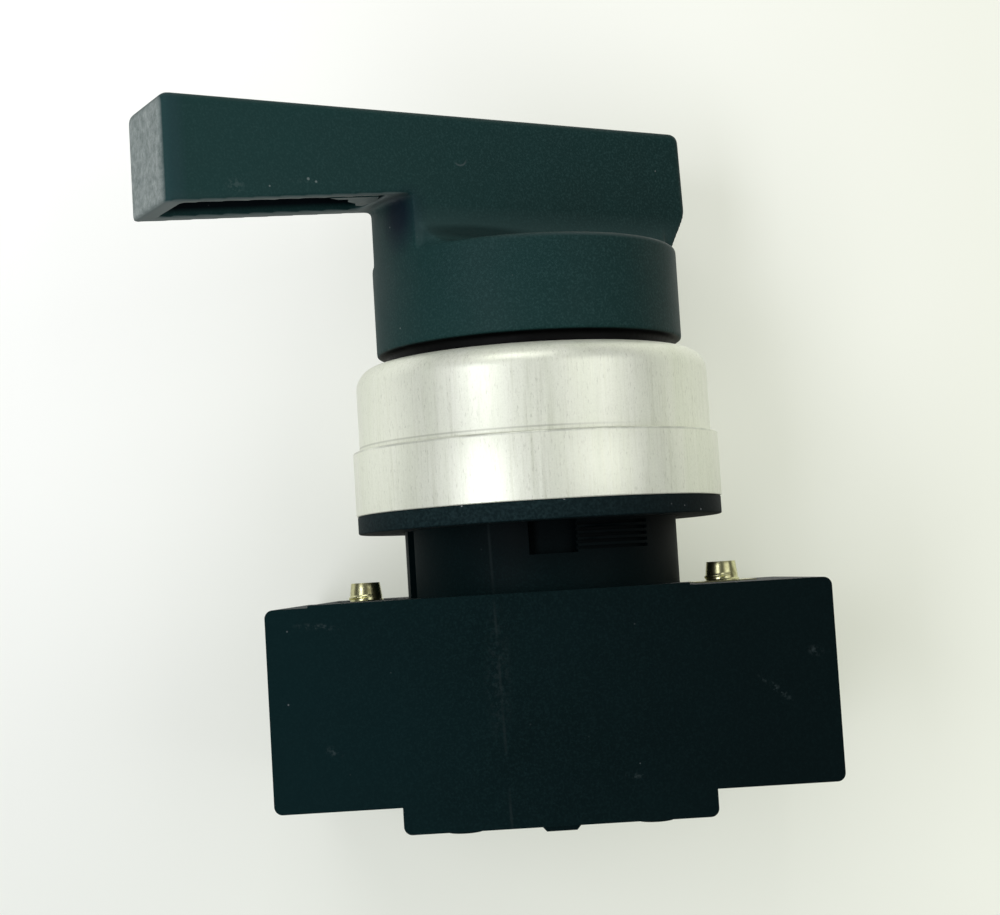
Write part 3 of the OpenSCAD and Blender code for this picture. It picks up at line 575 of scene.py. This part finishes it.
def coil(name, centre, out, low, high, radius, wire, turns):
    """A wire spring between two heights along out; its first and last turns lie closed."""
    axis = Vector(out).normalized()
    side = axis.orthogonal().normalized()
    up = axis.cross(side)
    count = int(turns * RINGS_PER_TURN)
    dead = 1 / turns
    points = []
    for i in range(count + 1):
        share = i / count
        lift = min(1, max(0, (share - dead) / (1 - 2 * dead)))
        closed = wire * 2.1 * (min(share, dead) + max(0, share - 1 + dead)) * turns
        span = (high - low) - 2 * wire * 2.1
        h = low + wire + closed + lift * (span - 2 * wire) + (wire * 0.1 if lift else 0)
        a = 2 * math.pi * turns * share
        points.append(
            Vector(centre) + axis * h + (side * math.cos(a) + up * math.sin(a)) * radius
        )
    verts, faces = [], []
    for i, point in enumerate(points):
        a = 2 * math.pi * turns * i / count
        outward = side * math.cos(a) + up * math.sin(a)
        along = (points[min(i + 1, count)] - points[max(i - 1, 0)]).normalized()
        third = along.cross(outward)
        for k in range(WIRE_SIDES):
            b = 2 * math.pi * k / WIRE_SIDES
            verts.append(point + (outward * math.cos(b) + third * math.sin(b)) * wire)
    for i in range(count):
        for k in range(WIRE_SIDES):
            n = (k + 1) % WIRE_SIDES
            faces.append((i * WIRE_SIDES + k, i * WIRE_SIDES + n,
                          (i + 1) * WIRE_SIDES + n, (i + 1) * WIRE_SIDES + k))
    faces.append(tuple(reversed(range(WIRE_SIDES))))
    faces.append(tuple(count * WIRE_SIDES + k for k in range(WIRE_SIDES)))
    mesh = bpy.data.meshes.new(name)
    mesh.from_pydata(verts, [], faces)
    for face in mesh.polygons:
        face.use_smooth = len(face.vertices) == 4
    obj = bpy.data.objects.new(name, mesh)
    bpy.context.scene.collection.objects.link(obj)
    paint(obj, "spring_steel")
    return obj


RETURN_WIRE, CONTACT_WIRE = 0.17 * MM, 0.14 * MM
PLUNGER_SPRING_TURNS = 6


def upright_spring(node, wire):
    """A wound spring as tall and wide as a node, with its lower end's place and its length."""
    low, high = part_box(node)
    middle = ((low[0] + high[0]) / 2, (low[1] + high[1]) / 2, 0)
    spring = coil(node + "_coil", middle, (0, 0, 1), low[2], high[2],
                  (high[1] - low[1]) / 2 - wire, wire, PLUNGER_SPRING_TURNS)
    return spring, (middle[0], middle[1], low[2]), high[2] - low[2]


for kind, joint, body in (("no", "make_travel", "make_plunger"),
                          ("nc", "break_travel", "break_plunger")):
    node = "return_spring_" + kind
    spring, foot, length = upright_spring(node, RETURN_WIRE)
    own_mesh(spring)
    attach(spring, "base")
    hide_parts(node)
    node = "contact_spring_" + kind
    spring, foot, length = upright_spring(node, CONTACT_WIRE)
    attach(spring, body)
    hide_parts(node)

DETENT_Z = -0.6 * MM
DETENT_ANGLES = (185, 5)
DETENT_SEAT = 3.42 * MM
DETENT_TURNS = 5
low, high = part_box("detent_springs")
detent_wire = 0.15 * MM
detent_radius = (high[2] - low[2]) / 2 - detent_wire
inner = DETENT_SEAT - detent_wire
tip = abs(low[0])
coils = []
for angle in DETENT_ANGLES:
    a = math.radians(angle)
    coils.append(coil("detent_coil_%d" % angle, (0, 0, DETENT_Z), (math.cos(a), math.sin(a), 0),
                      inner, tip / abs(math.cos(a)), detent_radius, detent_wire, DETENT_TURNS))
    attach(coils[-1], "lever")
for one in coils:
    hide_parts("detent_springs")


# Stage and light

SHEET_Y = 16.6 * MM
SHEET_HALF = 4.0
PAPER_COLOUR = (0.56, 0.56, 0.545, 1)
PAPER_LEFT, PAPER_RIGHT = -50 * MM, 47 * MM
PAPER_HIGH, PAPER_LOW = -50 * MM, 38 * MM
PAPER_TOP = ((0.52, 0.525, 0.51), (0.35, 0.365, 0.265))
PAPER_BOTTOM = ((0.28, 0.30, 0.25), (0.32, 0.34, 0.24))


def make_sheet():
    """Pale paper behind the switch: much of its brightness is its own glow; clear from behind."""
    half = SHEET_HALF
    mesh = bpy.data.meshes.new("paper")
    mesh.from_pydata(
        [(-half, SHEET_Y, -half), (half, SHEET_Y, -half), (half, SHEET_Y, half),
         (-half, SHEET_Y, half)],
        [], [(0, 1, 2, 3)],
    )
    obj = bpy.data.objects.new("paper", mesh)
    bpy.context.scene.collection.objects.link(obj)
    s = Mat("paper", rough=1, spec=0)
    s.bsdf.inputs["Base Color"].default_value = PAPER_COLOUR
    # painted light: the glow is brighter at the top left and dimmer to the right and bottom, as light
    # from the left falls
    across = s.ramp(s.along((1, 0, 0)), PAPER_LEFT, PAPER_RIGHT)
    down = s.ramp(s.along((0, 0, -1)), PAPER_HIGH, PAPER_LOW)
    glow = s.mix(down, s.mix(across, *PAPER_TOP), s.mix(across, *PAPER_BOTTOM))
    s.to("Emission Color", glow)
    s.bsdf.inputs["Emission Strength"].default_value = 1
    clear = s.node("BsdfTransparent")
    side = s.node("NewGeometry")
    choose = s.node("MixShader")
    s.link(side.outputs["Backfacing"], choose.inputs[0])
    s.link(s.bsdf.outputs[0], choose.inputs[1])
    s.link(clear.outputs[0], choose.inputs[2])
    s.link(choose.outputs[0], s.t.nodes["Material Output"].inputs["Surface"])
    mesh.materials.append(s.m)
    obj.visible_shadow = False
    obj.visible_diffuse = False


make_sheet()


SKY_SOFT, SKY_MIRRORED, SKY_SEEN = 0.36, 0.1, 0.88


def make_world():
    """Even soft light; darker where it is mirrored, as the room in front was."""
    world = bpy.data.worlds.new("world")
    bpy.context.scene.world = world
    world.use_nodes = True
    t = world.node_tree
    t.nodes.clear()
    path = t.nodes.new("ShaderNodeLightPath")
    shaders = []
    for color, strength in (((0.97, 0.99, 1, 1), SKY_SOFT), ((0.97, 1, 0.98, 1), SKY_MIRRORED),
                            ((0.98, 1, 0.96, 1), SKY_SEEN)):
        shader = t.nodes.new("ShaderNodeBackground")
        shader.inputs["Color"].default_value = color
        shader.inputs["Strength"].default_value = strength
        shaders.append(shader.outputs[0])
    last = shaders[0]
    for ray, shader in (("Is Glossy Ray", shaders[1]), ("Is Camera Ray", shaders[2])):
        pick = t.nodes.new("ShaderNodeMixShader")
        t.links.new(path.outputs[ray], pick.inputs[0])
        t.links.new(last, pick.inputs[1])
        t.links.new(shader, pick.inputs[2])
        last = pick.outputs[0]
    out = t.nodes.new("ShaderNodeOutputWorld")
    t.links.new(last, out.inputs["Surface"])


make_world()


def area_light(name, place, size, size_y, power, color=(1, 1, 1)):
    data = bpy.data.lights.new(name, "AREA")
    data.shape = "RECTANGLE"
    data.size, data.size_y = size, size_y
    data.energy = power
    data.color = color
    obj = bpy.data.objects.new(name, data)
    bpy.context.scene.collection.objects.link(obj)
    obj.location = place
    obj.rotation_euler = (-Vector(place)).to_track_quat("-Z", "Y").to_euler()


area_light("key", (-0.42, -0.66, -0.11), 0.28, 0.8, 3.2, (0.98, 0.99, 1.07))
area_light("top", (-0.12, -0.5, 0.62), 0.5, 0.25, 1.5)
area_light("fill", (0.48, -0.58, 0.05), 0.5, 0.5, 1.35)
area_light("rear", (0.2, 0.8, 0.4), 0.5, 0.5, 3.0)
